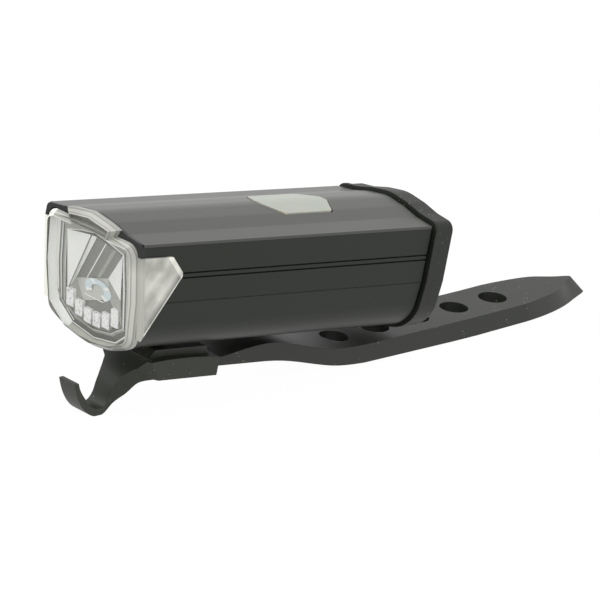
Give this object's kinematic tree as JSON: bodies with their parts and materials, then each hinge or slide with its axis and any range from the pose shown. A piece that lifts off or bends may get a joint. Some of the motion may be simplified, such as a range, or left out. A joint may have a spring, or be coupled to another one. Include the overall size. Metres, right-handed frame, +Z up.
{
  "type": "bike headlight",
  "caption": "Slim bar-mounted bicycle headlight: raked clear lens, ridged black cover with a milky button, rubber end cap, hooked bracket and a holed silicone strap.",
  "frame": {"origin": "on the bracket's flat underside, where the top of the handlebar bears", "axes": "-Y along the beam, +Z up through the lamp, +X to the rider's left"},
  "size_m": [0.0324, 0.1691, 0.0466],
  "materials": {
    "bracket_plastic": "satin, dark grey",
    "pin_steel": "satin",
    "washer_plastic": "smooth",
    "strap_silicone": "matt silicone",
    "insert_brass": "satin",
    "screw_steel": "satin",
    "housing_black": "fine satin, black anodised",
    "cover_black": "satin, black anodised",
    "frame_black": "semi-gloss",
    "lens_clear": "polished clear",
    "gasket_rubber": "matt",
    "reflector_bright": "polished metal film on plastic",
    "led_board_white": "white solder mask",
    "led_yellow": "clear over yellow phosphor",
    "sink_aluminium": "as machined",
    "chassis_plastic": "matt",
    "cell_wrap": "wrapped in film",
    "contact_nickel": "satin nickel",
    "board_green": "solder mask",
    "chip_black": "matt",
    "connector_white": "matt",
    "switch_steel": "satin",
    "plunger_black": "satin",
    "status_light": "clear",
    "button_milky": "milky translucent silicone",
    "socket_steel": "satin",
    "cap_rubber": "matt"
  },
  "bodies": {
    "bracket": {"strap_bracket": "bracket_plastic", "strap_pin": "pin_steel", "swivel_washer": "washer_plastic"},
    "lamp": {"swivel_foot": "housing_black", "thread_insert": "insert_brass", "swivel_screw": "screw_steel", "lower_housing": "housing_black", "top_cover": "cover_black", "front_frame": "frame_black", "front_lens": "lens_clear", "lens_gasket": "gasket_rubber", "reflector": "reflector_bright", "light_shelf": "lens_clear", "led_board": "led_board_white", "led_emitter": "led_yellow", "heat_sink": "sink_aluminium", "chassis": "chassis_plastic", "battery_cell": "cell_wrap", "cell_contacts": "contact_nickel", "main_board": "board_green", "board_chips": "chip_black", "led_connector": "connector_white", "tact_switch": "switch_steel", "status_leds": "status_light", "glow_frame": "connector_white", "end_plate": "chassis_plastic", "end_screws": "screw_steel", "charging_socket": "socket_steel"},
    "button": {"power_button": "button_milky"},
    "plunger": {"switch_plunger": "plunger_black"},
    "cap": {"rear_cap": "cap_rubber", "cap_seal": "gasket_rubber"},
    "strap": {"strap": "strap_silicone"}
  },
  "joints": [
    {"name": "lamp_swivel", "type": "hinge", "parent": "bracket", "child": "lamp", "pos_m": [0, -0.0042, 0.005], "axis": [0, 0, 1], "range_deg": [-15, 15]},
    {"name": "power_button_press", "type": "slide", "parent": "lamp", "child": "button", "axis": [0, 0, -1], "range_m": [0, 0.0005], "stiffness_N_per_m": 600, "springref_m": -0.001},
    {"name": "switch_plunger_press", "type": "slide", "parent": "lamp", "child": "plunger", "axis": [0, 0, -1], "range_m": [0, 0.0005]},
    {"name": "rear_cap_pull", "type": "slide", "parent": "lamp", "child": "cap", "axis": [0, 1, 0], "range_m": [0, 0.008]},
    {"name": "strap_swing", "type": "hinge", "parent": "bracket", "child": "strap", "pos_m": [0, 0.0079, 0.00235], "axis": [-1, 0, 0], "range_deg": [0, 90]}
  ],
  "couplings": [
    {"joint": "switch_plunger_press", "follows": "power_button_press", "ratio": 1}
  ]
}
